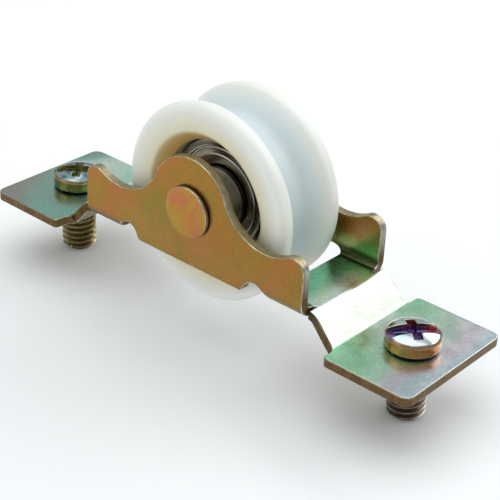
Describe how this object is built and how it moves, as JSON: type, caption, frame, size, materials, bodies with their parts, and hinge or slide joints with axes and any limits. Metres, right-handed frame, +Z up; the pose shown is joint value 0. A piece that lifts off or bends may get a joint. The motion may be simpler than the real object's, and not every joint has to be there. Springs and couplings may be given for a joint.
{
  "type": "sliding door roller",
  "caption": "Sliding door roller: grooved nylon wheel on a shielded ball bearing in a folded steel bracket with end tabs fastened by machine screws.",
  "frame": {"origin": "midway between the two screws, in the plane of the tabs' undersides", "axes": "+X along the bracket, +Y along the axle, +Z up towards the top of the wheel"},
  "size_m": [0.087, 0.0234, 0.0397],
  "materials": {
    "yellow_zinc": "yellow passivated zinc plating with a green and pink sheen",
    "nylon": "moulded white nylon, slightly translucent",
    "bearing_steel": "ground bearing steel, dark in shade",
    "shield_steel": "pressed steel, satin",
    "cage_steel": "pressed steel strip",
    "ball_steel": "polished",
    "collar_steel": "grey turned steel, matt",
    "screw_zinc": "bright yellow passivated zinc, mirror-like"
  },
  "bodies": {
    "frame": {"bracket": "yellow_zinc", "axle_rivet": "yellow_zinc", "bearing_inner_ring": "bearing_steel", "spacer_near": "collar_steel", "spacer_far": "collar_steel", "screw_left": "screw_zinc", "screw_right": "screw_zinc"},
    "wheel": {"wheel": "nylon", "bearing_outer_ring": "bearing_steel", "shield_near": "shield_steel", "shield_far": "shield_steel"},
    "cage": {"cage_half_near": "cage_steel", "cage_half_far": "cage_steel"},
    "ball_1": {"ball_1": "ball_steel"},
    "ball_2": {"ball_2": "ball_steel"},
    "ball_3": {"ball_3": "ball_steel"},
    "ball_4": {"ball_4": "ball_steel"},
    "ball_5": {"ball_5": "ball_steel"},
    "ball_6": {"ball_6": "ball_steel"},
    "ball_7": {"ball_7": "ball_steel"}
  },
  "joints": [
    {"name": "wheel_spin", "type": "hinge", "parent": "frame", "child": "wheel", "pos_m": [0, 0, 0.0135], "axis": [0, 1, 0], "continuous": true},
    {"name": "cage_spin", "type": "hinge", "parent": "frame", "child": "cage", "pos_m": [0, 0, 0.0135], "axis": [0, 1, 0], "continuous": true},
    {"name": "ball_1_spin", "type": "hinge", "parent": "cage", "child": "ball_1", "pos_m": [0, 0, 0.01975], "axis": [0, 1, 0], "continuous": true},
    {"name": "ball_2_spin", "type": "hinge", "parent": "cage", "child": "ball_2", "pos_m": [-0.00489, 0, 0.0174], "axis": [0, 1, 0], "continuous": true},
    {"name": "ball_3_spin", "type": "hinge", "parent": "cage", "child": "ball_3", "pos_m": [-0.00609, 0, 0.01211], "axis": [0, 1, 0], "continuous": true},
    {"name": "ball_4_spin", "type": "hinge", "parent": "cage", "child": "ball_4", "pos_m": [-0.00271, 0, 0.00787], "axis": [0, 1, 0], "continuous": true},
    {"name": "ball_5_spin", "type": "hinge", "parent": "cage", "child": "ball_5", "pos_m": [0.00271, 0, 0.00787], "axis": [0, 1, 0], "continuous": true},
    {"name": "ball_6_spin", "type": "hinge", "parent": "cage", "child": "ball_6", "pos_m": [0.00609, 0, 0.01211], "axis": [0, 1, 0], "continuous": true},
    {"name": "ball_7_spin", "type": "hinge", "parent": "cage", "child": "ball_7", "pos_m": [0.00489, 0, 0.0174], "axis": [0, 1, 0], "continuous": true}
  ],
  "couplings": [
    {"joint": "cage_spin", "follows": "wheel_spin", "ratio": 0.64},
    {"joint": "ball_1_spin", "follows": "wheel_spin", "ratio": 1.6457},
    {"joint": "ball_2_spin", "follows": "wheel_spin", "ratio": 1.6457},
    {"joint": "ball_3_spin", "follows": "wheel_spin", "ratio": 1.6457},
    {"joint": "ball_4_spin", "follows": "wheel_spin", "ratio": 1.6457},
    {"joint": "ball_5_spin", "follows": "wheel_spin", "ratio": 1.6457},
    {"joint": "ball_6_spin", "follows": "wheel_spin", "ratio": 1.6457},
    {"joint": "ball_7_spin", "follows": "wheel_spin", "ratio": 1.6457}
  ]
}
